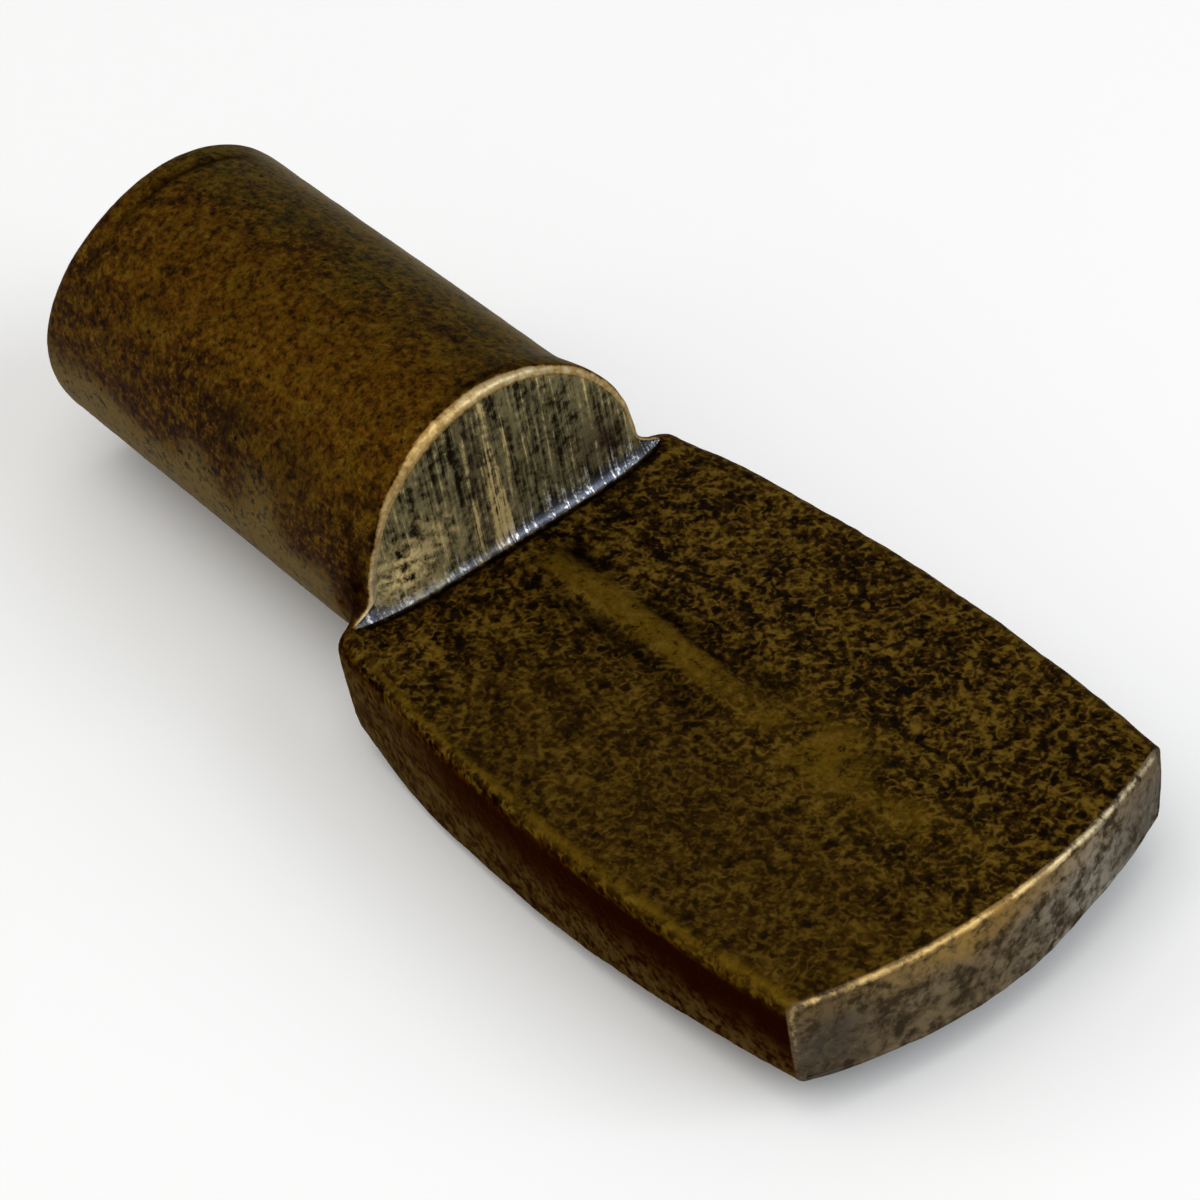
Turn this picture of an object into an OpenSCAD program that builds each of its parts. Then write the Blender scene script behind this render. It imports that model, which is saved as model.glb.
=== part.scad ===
// Shelf support pin: a round pin that plugs into a cabinet's side wall, pressed
// flat beyond a half-moon step into a paddle that carries the shelf.
// The pin lies along X, free end towards -X. The shelf's side faces +Z.
// Millimetres. The origin is on the pin's axis, in the plane of the step.

/* [Pin] */
// Diameter of the pin, a loose fit in a quarter inch hole
pin_d = 6.2; // [5:0.1:7]
// Length of the pin, from the step to its free end
pin_len = 10.4; // [7:0.1:14]
// Rounding of the pin's free end
end_r = 0.25; // [0.1:0.05:1.2]
// Rounding of the rim above the step
rim_r = 0.16; // [0.06:0.02:0.3]
// Growth of the pin's radius towards the rim, where pressing has spread it
rim_lip = 0.03; // [0.01:0.01:0.08]

/* [Paddle] */
// Length of the paddle, from the step to the middle of its tip
paddle_len = 13.2; // [10:0.1:18]
// Width of the paddle at its widest place
paddle_w = 9; // [8.2:0.1:11]
// Distance of the widest place from the step
widest_x = 6.9; // [5:0.1:9]
// Radius of the bowed sides, seen from above
side_r = 46; // [30:1:90]
// Radius of the bowed tip, seen from above
tip_r = 11.5; // [8:0.5:30]
// Drop from the pin's axis to the seat that carries the shelf
seat_drop = 0.24; // [0:0.02:0.6]
// Thickness of the paddle at the step
root_t = 2.9; // [2.2:0.1:3.4]
// Thickness of the paddle at the middle of its tip
tip_t = 2.05; // [1.2:0.05:2.2]
// Distance from the step at which the underside starts to rise
foot_len = 1.2; // [0.6:0.1:3]
// Rise of the underside from its middle to the sides
belly_crown = 0.3; // [0.2:0.02:0.6]
// Depth of the level flat that the crowned underside is ground to
foot_flat = 0.1; // [0.04:0.02:0.16]
// Depth of the walls' widest level below the seat
widest_drop = 0.65; // [0.3:0.05:1.2]
// Draft of the side and tip walls, from their widest level to the underside at the step
wall_draft = 0.16; // [0.04:0.02:0.3]
// Bevel worn along the seat's edge
seat_bevel = 0.14; // [0.04:0.02:0.3]

/* [Shoulders] */
// Distance of the shoulders' back from the step
shoulder_back = 0.3; // [0.1:0.05:0.8]
// Radius of the shoulder corners, seen from above
shoulder_r = 1.6; // [1.2:0.1:2]
// Distance of the middles of the shoulder corners from the step
corner_x = 0.3; // [0:0.05:0.8]
// Fillet between the shoulders' back and the pin
shoulder_fillet = 0.6; // [0.3:0.05:1.0]
// Fillet between the shoulders' top and the pin's flanks
flank_fillet = 0.5; // [0.3:0.05:0.7]

/* [Ridge] */
// Width of the pressed ridge along the seat, at the step
ridge_w = 1.1; // [0.6:0.1:2]
// Height of the ridge at the step
ridge_h = 0.06; // [0.03:0.01:0.15]
// Distance from the step at which the ridge has run out
ridge_len = 11; // [6:0.5:12]

/* [Hidden] */
$fn = 96;
// Allowance by which cutting and trimming shapes run past the metal
spare = 4;
pin_r = pin_d / 2;
seat_z = -seat_drop;
root_z = seat_z - root_t;
floor_z = root_z - 2 * spare;
widest_z = seat_z - widest_drop;
// How far the walls' draft draws them in where it is carried on to floor_z
floor_draft = wall_draft * (widest_z - floor_z) / (widest_z - root_z);
// Middles of the two arcs that bow the sides
side_centre_y = side_r - paddle_w / 2;
// Middles of the shoulder corners, which touch the side arcs from inside
corner_y = sqrt(pow(side_r - shoulder_r, 2) - pow(widest_x - corner_x, 2)) - side_centre_y;
// Growth of the shoulder corners past the side arcs, which makes their walls cross
corner_growth = 0.015;
corner_r = shoulder_r + corner_growth;
// Direction in which a corner runs into its side arc
tangent_angle = asin((widest_x - corner_x) / (side_r - shoulder_r));
// Where the pin's plain wall ends and the shoulders start
shoulder_x = -shoulder_back - shoulder_fillet;
// Underside: a barrel, round along the paddle and crowned across it, ground level at the root
belly_low = root_z - foot_flat;
belly_run = paddle_len - foot_len;
belly_rise = root_t + foot_flat - tip_t;
belly_r = (pow(belly_run, 2) + pow(belly_rise, 2)) / (2 * belly_rise);
// Largest share of belly_r that the crown's radius may have, so that the barrel stays a ring
ring_share = 0.45;
crown_r = min(pow(paddle_w / 2, 2) / (2 * belly_crown) + belly_crown / 2, ring_share * belly_r);
// Ridge: a round bar sunk in the seat and tilted so that it runs out
ridge_r = pow(ridge_w / 2, 2) / (2 * ridge_h) + ridge_h / 2;
ridge_tilt = atan(ridge_h / ridge_len);
// Depth at which a fillet starts under the surface that it runs out on
fillet_sink = 0.02;

// Half section of the pin: x is the radius, y runs along the pin
module pin_section() {
    polygon([
        [0, -pin_len + end_r],
        [pin_r, -pin_len + end_r],
        [pin_r, shoulder_x],
        [pin_r + rim_lip, 0],
        [0, 0]
    ]);
    translate([0, -pin_len]) square([pin_r - end_r, 2 * end_r]);
    translate([pin_r - end_r, -pin_len + end_r]) circle(end_r);
}

// Half section of the ring that rounds the rim above the step
module rim_section() {
    difference() {
        translate([pin_r + rim_lip - rim_r, -rim_r]) square(rim_r + spare);
        translate([pin_r + rim_lip - rim_r, -rim_r]) circle(rim_r);
    }
}

module along_pin() {
    rotate([0, 90, 0]) rotate_extrude() children();
}

// Everything above the level of the seat
module above_seat() {
    translate([-pin_len - spare, -paddle_w, seat_z])
        cube([pin_len + paddle_len + 2 * spare, 2 * paddle_w, pin_d]);
}

module round_pin() {
    difference() {
        along_pin() pin_section();
        intersection() {
            along_pin() rim_section();
            above_seat();
        }
    }
}

// Half section of a disc with a drafted wall and a bevel at the seat's level
module disc_section(r) {
    polygon([
        [0, floor_z],
        [r - floor_draft, floor_z],
        [r, widest_z],
        [r, seat_z - seat_bevel],
        [r - seat_bevel, seat_z],
        [0, seat_z]
    ]);
}

module rimmed_disc(x, y, r) {
    translate([x, y, 0]) rotate_extrude() disc_section(r);
}

// The paddle's sides and tip, forward of its shoulder corners
module paddle_blade() {
    intersection() {
        rimmed_disc(widest_x, -side_centre_y, side_r);
        rimmed_disc(widest_x, side_centre_y, side_r);
        rimmed_disc(paddle_len - tip_r, 0, tip_r);
        translate([0, 0, floor_z]) linear_extrude(seat_z - floor_z + spare) polygon([
            [corner_x, -corner_y],
            [corner_x - spare * sin(tangent_angle), -corner_y - spare * cos(tangent_angle)],
            [paddle_len + spare, -paddle_w],
            [paddle_len + spare, paddle_w],
            [corner_x - spare * sin(tangent_angle), corner_y + spare * cos(tangent_angle)],
            [corner_x, corner_y]
        ]);
    }
}

// The two shoulder corners and the metal between them
module paddle_root() {
    for (side = [-1, 1]) rimmed_disc(corner_x, side * corner_y, corner_r);
    translate([corner_x - shoulder_r, -corner_y, floor_z])
        cube([2 * shoulder_r, 2 * corner_y, seat_z - floor_z]);
}

// Space that the shoulders may fill: it opens round the pin in a fillet
module shoulder_space() {
    fillet_centre = [pin_r - fillet_sink + shoulder_fillet, shoulder_x];
    along_pin() difference() {
        translate([0, shoulder_x]) square([paddle_w, paddle_len + 2 * spare]);
        translate(fillet_centre) circle(shoulder_fillet);
        translate(fillet_centre) square([paddle_w, shoulder_fillet]);
    }
}

// Metal that runs out from the pin's flanks on to the shoulders, cut off by the step
module flank_fillets() {
    fillet_size = flank_fillet - fillet_sink;
    intersection() {
        for (side = [-1, 1]) translate([shoulder_x, 0, 0]) rotate([90, 0, 90])
            linear_extrude(-shoulder_x) difference() {
                translate([side * pin_r, seat_z]) square(2 * fillet_size, center = true);
                translate([side * (pin_r + fillet_size), seat_z + fillet_size]) circle(flank_fillet);
            }
        for (side = [-1, 1]) translate([corner_x, side * corner_y, seat_z])
            cylinder(r = corner_r - seat_bevel, h = pin_d, center = true);
        shoulder_space();
    }
}

// Space above the crowned underside and its level flat
module belly_space() {
    intersection() {
        translate([foot_len, 0, belly_low + belly_r]) rotate([90, 0, 0]) rotate_extrude($fn = 4 * $fn)
            intersection() {
                translate([belly_r - crown_r, 0]) circle(crown_r, $fn = 4 * $fn);
                translate([0, -paddle_w]) square([belly_r + spare, 2 * paddle_w]);
            }
        translate([shoulder_x, -paddle_w, root_z])
            cube([paddle_len + spare, 2 * paddle_w, root_t + spare]);
    }
}

module paddle() {
    intersection() {
        union() {
            paddle_blade();
            paddle_root();
        }
        shoulder_space();
        belly_space();
    }
}

module ridge() {
    intersection() {
        translate([0, 0, seat_z + ridge_h - ridge_r])
            rotate([0, 90 + ridge_tilt, 0]) cylinder(r = ridge_r, h = 2 * paddle_len, center = true);
        translate([-shoulder_back, -ridge_w, seat_z - ridge_h])
            cube([shoulder_back + paddle_len - tip_t, 2 * ridge_w, 3 * ridge_h]);
    }
}

module shelf_pin() {
    color([0.36, 0.27, 0.12]) {
        round_pin();
        flank_fillets();
        paddle();
        ridge();
    }
}

shelf_pin();
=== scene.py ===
"""Shelf support pin in darkened brass, on a plain stage.

The pin is one skin of metal: rows of points run round the pin and the paddle, and the half-moon step and
the two ends close it. Lengths inside the modelling code are millimetres; the frame is in metres.
"""

from itertools import product
from math import asin, cos, pi, radians, sin, sqrt

import bmesh
import bpy
import numpy as np
from mathutils import Matrix, Vector


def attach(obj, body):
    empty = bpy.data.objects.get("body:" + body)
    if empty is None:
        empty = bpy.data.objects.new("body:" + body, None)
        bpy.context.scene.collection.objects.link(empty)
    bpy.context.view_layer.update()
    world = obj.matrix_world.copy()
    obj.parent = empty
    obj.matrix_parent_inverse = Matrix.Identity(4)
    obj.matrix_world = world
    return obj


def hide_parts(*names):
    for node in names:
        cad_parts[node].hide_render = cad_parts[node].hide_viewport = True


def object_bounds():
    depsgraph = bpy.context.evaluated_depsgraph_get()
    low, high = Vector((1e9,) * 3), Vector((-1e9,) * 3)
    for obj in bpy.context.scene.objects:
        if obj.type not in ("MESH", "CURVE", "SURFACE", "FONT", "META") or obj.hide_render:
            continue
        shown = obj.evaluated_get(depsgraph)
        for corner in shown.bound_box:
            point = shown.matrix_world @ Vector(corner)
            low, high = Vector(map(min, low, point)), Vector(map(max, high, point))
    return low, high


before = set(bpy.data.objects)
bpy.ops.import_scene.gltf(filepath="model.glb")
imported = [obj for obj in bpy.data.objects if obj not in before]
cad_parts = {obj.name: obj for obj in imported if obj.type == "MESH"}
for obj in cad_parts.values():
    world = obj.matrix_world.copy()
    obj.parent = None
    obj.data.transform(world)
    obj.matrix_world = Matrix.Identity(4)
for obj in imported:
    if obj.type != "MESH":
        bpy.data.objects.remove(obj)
CAD_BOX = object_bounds()

bl_info = {
    "name": "Shelf support pin",
    "version": (1, 0, 0),
    "blender": (4, 5, 0),
    "location": "View3D > Sidebar > Shelf pin",
    "description": "Builds a darkened brass shelf support pin and a plain stage for it",
    "category": "Object",
}

MM = 0.001


def length(name, description, millimetres):
    """A length property, kept in metres."""
    return bpy.props.FloatProperty(
        name=name, description=description, default=millimetres * MM, min=0.0,
        subtype="DISTANCE", unit="LENGTH", precision=5,
    )


def angle(name, description, degrees):
    """An angle property, kept in radians."""
    return bpy.props.FloatProperty(
        name=name, description=description, default=radians(degrees), subtype="ANGLE", unit="ROTATION",
    )


def tone(name, description, red, green, blue):
    """A colour property, in linear light."""
    return bpy.props.FloatVectorProperty(
        name=name, description=description, default=(red, green, blue, 1.0), size=4,
        min=0.0, max=1.0, subtype="COLOR",
    )


class ShelfPinSizes(bpy.types.PropertyGroup):
    """Sizes of the pin, taken from the frame where it gives them."""

    pin_length: length("Pin length", "From the step to the pin's free end", -CAD_BOX[0].x / MM)
    pin_diameter: length("Pin diameter", "Across the pin's plain wall", 6.2)
    end_round: length("End rounding", "Rounding of the pin's free end", 0.25)
    end_crop: length("End crop", "Height of the blunt ridge that cropping left across the pin's end", 0.55)
    rim_round: length("Rim rounding", "Worn rounding of the rim above the step", 0.14)
    rim_lip: length("Rim lip", "Spread of the pin's radius towards the rim", 0.03)
    paddle_length: length("Paddle length", "From the step to the middle of the tip", CAD_BOX[1].x / MM)
    paddle_width: length("Paddle width", "At its widest place", 2 * CAD_BOX[1].y / MM)
    widest: length("Widest place", "Distance of the widest place from the step", 6.9)
    side_bow: length("Side bow", "Radius of the bowed sides, seen from above", 46.0)
    tip_bow: length("Tip bow", "Radius of the bowed tip, seen from above", 11.5)
    seat_drop: length("Seat drop", "From the pin's axis down to the seat", 0.24)
    root_thickness: length("Root thickness", "Thickness of the paddle at the step", 2.9)
    tip_thickness: length("Tip thickness", "Thickness of the paddle at the middle of its tip", 2.05)
    foot_length: length("Foot length", "Distance from the step at which the underside starts to rise", 1.2)
    foot_flat: length("Foot flat", "Depth of the level flat ground on the crowned underside", 0.1)
    belly_crown: length("Belly crown", "Rise of the underside from its middle to the sides", 0.3)
    thin_side: length("Thin side", "How much thinner the tip is towards +Y, where the press ran out", 0.26)
    widest_drop: length("Widest drop", "Depth of the walls' widest level below the seat", 0.65)
    wall_draft: length("Wall draft", "How far the walls draw in down to the underside at the step", 0.16)
    pin_shift: length("Pin shift", "Sideways set of the pin's root from the paddle's middle", 0.18)
    edge_round: length("Edge rounding", "Rounding of the seat's edges", 0.22)
    shoulder_ease: length("Shoulder ease", "How much more the seat's edges are rounded at the step", 0.14)
    belly_round: length("Belly rounding", "Rounding of the lower edges at the tip", 0.14)
    root_round: length("Root rounding", "Rounding of the lower edges at the shoulders", 0.9)
    tip_round: length("Tip rounding", "Rounding of the edges round the tip", 0.13)
    tip_bulge: length("Tip bulge", "Bulge of the tip's end face", 0.04)
    shoulder_start: length("Shoulder start", "Distance behind the step where the shoulders start", 1.1)
    shoulder_corner: length("Shoulder corner", "Radius of the shoulder corners, seen from above", 1.6)
    corner_place: length("Corner place", "Distance of the shoulder corners' middles from the step", 0.3)
    back_round: length("Back rounding", "Rounding between the shoulders' back and the walls", 0.3)
    back_place: length("Back place", "Distance in front of the step where that rounding ends", 0.0)
    flank_height: length(
        "Flank height", "Height at which the flanks start to spread on to the shoulders", 0.42)
    step_lean: length("Step lean", "Lean of the step's face, from its rim to its base", 0.20)
    step_foot: length("Step foot", "Spread of the step's burnished foot", 0.10)
    step_foot_height: length("Step foot height", "Height of the step's burnished foot", 0.20)
    ridge_height: length("Ridge height", "Height of the pressed ridge along the seat", 0.05)
    ridge_width: length("Ridge width", "Width of the pressed ridge", 0.60)


class ShelfPinFinish(bpy.types.PropertyGroup):
    """Colours of the darkened brass, some of which paint shade, reflections and highlights."""

    # Amber is random patina and also the colour of a painted highlight band on the pin's upper -Y side.
    amber_and_highlight: tone("Amber", "Bright patina on the pin", 0.072, 0.028, 0.0010)
    umber: tone("Umber", "Darker clouds on the pin", 0.028, 0.011, 0.0008)
    # Moss is random patina and also the colour of a painted darker reflection on the pin's upper +Y side.
    moss: tone("Moss", "Greenish patina on the pin", 0.056, 0.047, 0.0035)
    # Khaki paints a reflection of the pale floor low on the pin's -Y side.
    khaki_reflection: tone("Khaki", "Dull patina low on the pin", 0.150, 0.109, 0.0420)
    # Tan paints a pale grazing reflection high on the pin's +Y side.
    tan: tone("Tan", "Greyish patina high on the far side of the pin", 0.210, 0.166, 0.0900)
    fleck: tone("Fleck", "Light grain of the pin", 0.112, 0.054, 0.0036)
    hide: tone("Hide", "Ground of the seat's patina", 0.036, 0.016, 0.0010)
    strand: tone("Strand", "Raised grain of the seat", 0.140, 0.082, 0.0100)
    gold: tone("Gold", "Rubbed ridge and edges", 0.098, 0.053, 0.0028)
    pit: tone("Pit", "Oxide in the pits", 0.0035, 0.0020, 0.0006)
    # Painted shade: the walls are coloured darker than the seat because they face away from the light.
    wall: tone("Wall", "Red-brown patina under the seat's edge", 0.013, 0.0045, 0.0012)
    # Painted floor reflection low on the walls and painted light near the shoulders, with grain.
    wall_brown_reflection: tone("Wall brown", "Lighter patina low on the walls", 0.108, 0.072, 0.030)
    slate: tone("Slate", "Sheared metal of the step", 0.200, 0.170, 0.082)
    soot: tone("Soot", "Dark scores of the step", 0.012, 0.009, 0.004)
    ruddy: tone("Ruddy", "Brown stains on the step", 0.050, 0.026, 0.016)
    straw: tone("Straw", "Golden scores of the step", 0.72, 0.54, 0.230)
    # Painted highlights on the brightest gold grains of the step.
    flax_highlight: tone("Flax", "Brightest grains on the left of the step", 1.0, 0.80, 0.380)
    ash: tone("Ash", "Mottled metal of the tip", 0.150, 0.110, 0.062)
    dusk: tone("Dusk", "Darker mottles of the tip", 0.030, 0.021, 0.012)
    lead: tone("Lead", "Dull stains at the ends of the tip", 0.034, 0.030, 0.027)
    worn_gold: tone("Worn gold", "Half bared metal of the rim and below the tip's edge", 0.270, 0.160, 0.042)
    bare: tone("Bare", "Bare worn brass", 0.52, 0.43, 0.25)
    brass: tone("Brass", "Yellower bare brass on the left of the rim and the tip", 0.62, 0.420, 0.160)
    # Painted pale reflection of the floor on the right of the tip's end face.
    pewter_reflection: tone("Pewter", "Pale metal at the right of the tip", 0.240, 0.215, 0.175)
    # Painted bluish reflection of the cool window light on the step's burnished foot.
    steel_reflection: tone("Steel", "Bluish ground of the step's foot", 0.090, 0.100, 0.135)
    # Painted glints on the burnished streaks of the step's foot.
    silver_glint: tone("Silver", "Burnished streaks of the step's foot", 0.80, 0.82, 0.86)


class ShelfPinStage(bpy.types.PropertyGroup):
    """Camera and floor."""

    camera_azimuth: angle("Camera azimuth", "Turn of the camera round the part", 56.45)
    camera_elevation: angle("Camera elevation", "Height of the camera over the part", 41.25)
    camera_roll: angle("Camera roll", "Tilt of the camera about its view", -8.92)
    camera_distance: length("Camera distance", "From the step's middle along the view", 72.549)
    camera_right: length("Camera right", "Shift of the camera to its right", 1.652)
    camera_down: length("Camera down", "Shift of the camera downwards", 1.414)
    floor_tone: tone("Floor", "Colour of the floor", 0.90, 0.90, 0.895)


class GrainNoise:
    """Smooth seeded noise over points in millimetres, from about -1 to 1."""

    CELLS = 256
    GAIN = 1.6

    def __init__(self, seed):
        draw = np.random.default_rng(seed)
        self.order = draw.permutation(self.CELLS)
        slopes = draw.normal(size=(self.CELLS, 3))
        self.slopes = slopes / np.linalg.norm(slopes, axis=1, keepdims=True)

    def __call__(self, points, scale):
        spread = points * np.asarray(scale)
        cell = np.floor(spread).astype(int)
        part = spread - cell
        ease = part**3 * (part * (part * 6 - 15) + 10)
        total = np.zeros(len(points))
        for corner in product((0, 1), repeat=3):
            near = (cell + corner) % self.CELLS
            pick = self.order[(self.order[near[:, 0]] + near[:, 1]) % self.CELLS]
            pick = self.order[(pick + near[:, 2]) % self.CELLS]
            weight = np.prod(np.where(corner, ease, 1 - ease), axis=1)
            total += weight * np.sum(self.slopes[pick] * (part - corner), axis=1)
        return self.GAIN * total


def smooth(low, high, value):
    """0 below low, 1 above high, with an eased climb between; low may be the larger."""
    climb = np.clip((np.asarray(value, float) - low) / (high - low), 0, 1)
    return climb * climb * (3 - 2 * climb)


def bell(value, middle, width):
    """1 at the middle, falling off over the width."""
    return np.exp(-(((value - middle) / width) ** 2))


def spots(marks, along, across):
    """Sum of soft spots, each with its strength and its place and reach along and across."""
    return sum(strength * bell(along, *first) * bell(across, *second) for strength, first, second in marks)


class Skin:
    """Rows of points with their zone and edge weight, and the faces between rows."""

    def __init__(self):
        self.points = []
        self.zones = []
        self.edges = []
        self.faces = []

    def row(self, points, zone, edge=0.0):
        first = len(self.points)
        self.points.extend(points)
        self.zones.extend([zone] * len(points))
        self.edges.extend(np.broadcast_to(edge, len(points)))
        return list(range(first, first + len(points)))

    def face(self, *corners):
        once = list(dict.fromkeys(corners))
        if len(once) > 2:
            self.faces.append(once)

    def strip(self, row_a, row_b):
        for a0, a1, b0, b1 in zip(row_a, row_a[1:], row_b, row_b[1:]):
            self.face(a0, a1, b1, b0)

    def halving_strip(self, fine, coarse):
        for k, (b0, b1) in enumerate(zip(coarse, coarse[1:])):
            a0, a1, a2 = fine[2 * k : 2 * k + 3]
            self.face(a0, a1, b0)
            self.face(a1, b1, b0)
            self.face(a1, a2, b1)


# Numbers of faces across each part of a row, and of rows along each part
TOP_COUNT = 144
BOTTOM_COUNT = TOP_COUNT // 2
EDGE_COUNT = 5
WALL_COUNT = 12
SIDE_COUNT = 2 * EDGE_COUNT + WALL_COUNT
END_ROWS = 8
PIN_ROWS = 78
SHOULDER_ROWS = 13
RIM_ROWS = 6
STEP_ROWS = 44
NEAR_ROWS = 5
SEAT_ROWS = 177
TIP_ROWS = 5

# Zones of the skin
END, PIN, RIM, STEP, SEAT, SIDE, TIP = range(7)

# Where the paddle's form changes, in millimetres from the step or from the middle line
SOFT_EDGE_RUN = (1.6, 0.0)
ROUND_FOOT_RUN = (1.9, -0.3)
THIN_RUN = (6.0, 12.8)
THIN_ACROSS = (0.2, 2.4)
# Share of the paddle's length beside the step that has closer rows
NEAR_SHARE = 0.018
# Shares of the paddle's length over which the tip takes up the walls' draft
TIP_DRAFT_RUN = (0.7, 1.0)
# Angle below the pin's sides at which its rows turn from wall to underside
UNDERSIDE_TURN = radians(48)
# How sharply the walls' draft, the spread flanks and the step's two ends bend
DRAFT_BEND = 1.2
FLANK_BEND = 2.2
STEP_END_BEND = 5
# How much closer the step's rows lie at its foot
STEP_CROWDING = 1.35
# Inner points of the curve along which the shoulders' rows close up on the rim
SHOULDER_PULL = (-0.55, -0.42)
# The free end's crop: which way it faces, how far back it reaches, its depth and its slope along the ridge
CROP_SIDE = radians(32)
CROP_RUN = 1.6
CROP_DEPTH = 0.73
CROP_SLOPE = 0.33
# Length behind the step over which the pin goes over to its set and lean
LEAN_RUN = 1.2


class PinShape:
    """Sections of the part, all in millimetres."""

    def __init__(self, sizes):
        for name in sizes.__annotations__:
            setattr(self, name, getattr(sizes, name) / MM)
        self.pin_r = self.pin_diameter / 2
        self.seat_z = -self.seat_drop
        self.root_z = self.seat_z - self.root_thickness
        self.widest_z = self.seat_z - self.widest_drop
        self.side_centre = self.side_bow - self.paddle_width / 2
        reach = self.side_bow - self.shoulder_corner
        ahead = self.widest - self.corner_place
        self.corner_y = sqrt(reach**2 - ahead**2) - self.side_centre
        self.tangent_x = self.corner_place - self.shoulder_corner * ahead / reach
        run = self.paddle_length - self.foot_length
        rise = self.root_thickness + self.foot_flat - self.tip_thickness
        self.belly_r = (run**2 + rise**2) / (2 * rise)
        half = self.paddle_width / 2
        self.crown_r = half**2 / (2 * self.belly_crown) + self.belly_crown / 2
        self.foot_angle = asin(self.seat_z / self.pin_r)
        self.end_x = self.paddle_length - self.tip_round - self.tip_bulge

    def half_width(self, x):
        """Half of the paddle's width at its walls' widest level."""
        beside = np.clip(self.corner_place - x, 0, self.shoulder_corner)
        corner = self.corner_y + np.sqrt(self.shoulder_corner**2 - beside**2)
        side = np.sqrt(self.side_bow**2 - (x - self.widest) ** 2) - self.side_centre
        behind = np.clip((self.back_place - x) / self.back_round, 0, 1)
        return np.where(x < self.tangent_x, corner, side) - self.back_round * (1 - np.sqrt(1 - behind**2))

    def draft(self, z):
        """How far a wall is drawn in at a height."""
        below = np.maximum(self.widest_z - z, 0.0) / (self.widest_z - self.root_z)
        return self.wall_draft * below**DRAFT_BEND

    def wall_y(self, x, z):
        return self.half_width(x) - self.draft(z)

    def seat_edge(self, x):
        """Rounding of the seat's edge, which is softer at the shoulders."""
        return self.edge_round + self.shoulder_ease * smooth(*SOFT_EDGE_RUN, x)

    def lower_edge(self, x):
        """Rounding of the lower edges, where the rod's own roundness is left near the step."""
        return self.belly_round + (self.root_round - self.belly_round) * smooth(*ROUND_FOOT_RUN, x)

    def rail_y(self, x):
        """Half of the seat's width, inside its rounded edges."""
        return self.half_width(x) - self.seat_edge(x)

    def belly_z(self, x, y):
        """Underside: a barrel, ground level at the root, and thinner on one side of the tip."""
        over = np.maximum(x - self.foot_length, 0.0)
        crown = self.crown_r - np.sqrt(self.crown_r**2 - y**2)
        barrel = self.belly_r - np.sqrt((self.belly_r - crown) ** 2 - over**2)
        thin = self.thin_side * smooth(*THIN_RUN, x) * smooth(*THIN_ACROSS, y)
        return np.maximum(self.root_z - self.foot_flat + barrel, self.root_z) + thin

    def tip_x(self, y):
        """Where the tip's rounded edges start."""
        return self.end_x - y**2 / (2 * self.tip_bow)

    def step_reach(self, share):
        """How far forward the step's foot comes, at a share of the seat's half width."""
        return (self.step_lean + self.step_foot) * (1 - np.abs(share) ** STEP_END_BEND)

    def top_angles(self):
        return np.linspace(pi - self.foot_angle, self.foot_angle, TOP_COUNT + 1)

    def low_angles(self):
        wall = np.linspace(self.foot_angle, -UNDERSIDE_TURN, SIDE_COUNT + 1)
        floor = np.linspace(-UNDERSIDE_TURN, UNDERSIDE_TURN - pi, BOTTOM_COUNT + 1)
        return np.concatenate([wall, floor[1:], (-pi - wall[::-1])[1:]])

    def side_section(self, x, side):
        """Wall of one side from its rail down to the underside, as (y, z)."""
        edge, belly = self.seat_edge(x), self.lower_edge(x)
        floor_z = self.belly_z(x, side * self.wall_y(x, self.root_z))
        quarter = np.linspace(0, pi / 2, EDGE_COUNT + 1)
        upper = np.stack([
            self.rail_y(x) + edge * np.sin(quarter),
            self.seat_z - edge * (1 - np.cos(quarter)),
        ], 1)
        wall_z = np.linspace(self.seat_z - edge, floor_z + belly, WALL_COUNT + 1)[1:-1]
        wall = np.stack([self.wall_y(x, wall_z), wall_z], 1)
        foot_y = self.wall_y(x, floor_z + belly) - belly
        lower = np.stack([
            foot_y + belly * np.cos(quarter),
            floor_z + belly * (1 - np.sin(quarter)),
        ], 1)
        return np.concatenate([upper, wall, lower]) * (side, 1)

    def low_section(self, x):
        """Walls and underside of the paddle, from the +Y rail round to the -Y rail, as (y, z)."""
        right, left = self.side_section(x, 1), self.side_section(x, -1)
        across = np.linspace(right[-1, 0], left[-1, 0], BOTTOM_COUNT + 1)
        floor_z = self.belly_z(x, across)
        ends = right[-1, 1] - floor_z[0], left[-1, 1] - floor_z[-1]
        floor_z += np.linspace(*ends, BOTTOM_COUNT + 1)
        floor = np.stack([across, floor_z], 1)
        return np.concatenate([right, floor[1:-1], left[::-1]])


def side_edge_weights():
    """How far each point of a low section lies on a rounded edge: 1 in its middle, less on a lower edge."""
    arc = np.sin(np.linspace(0.25, pi - 0.25, EDGE_COUNT + 1))
    side = np.concatenate([arc, np.zeros(WALL_COUNT - 1), 0.6 * arc])
    return np.concatenate([side, np.zeros(BOTTOM_COUNT - 1), side[::-1]])


def at_x(x, section):
    return np.column_stack([np.broadcast_to(x, len(section)), section])


def polar(radius, angles):
    return np.stack([radius * np.cos(angles), radius * np.sin(angles)], 1)


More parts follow.
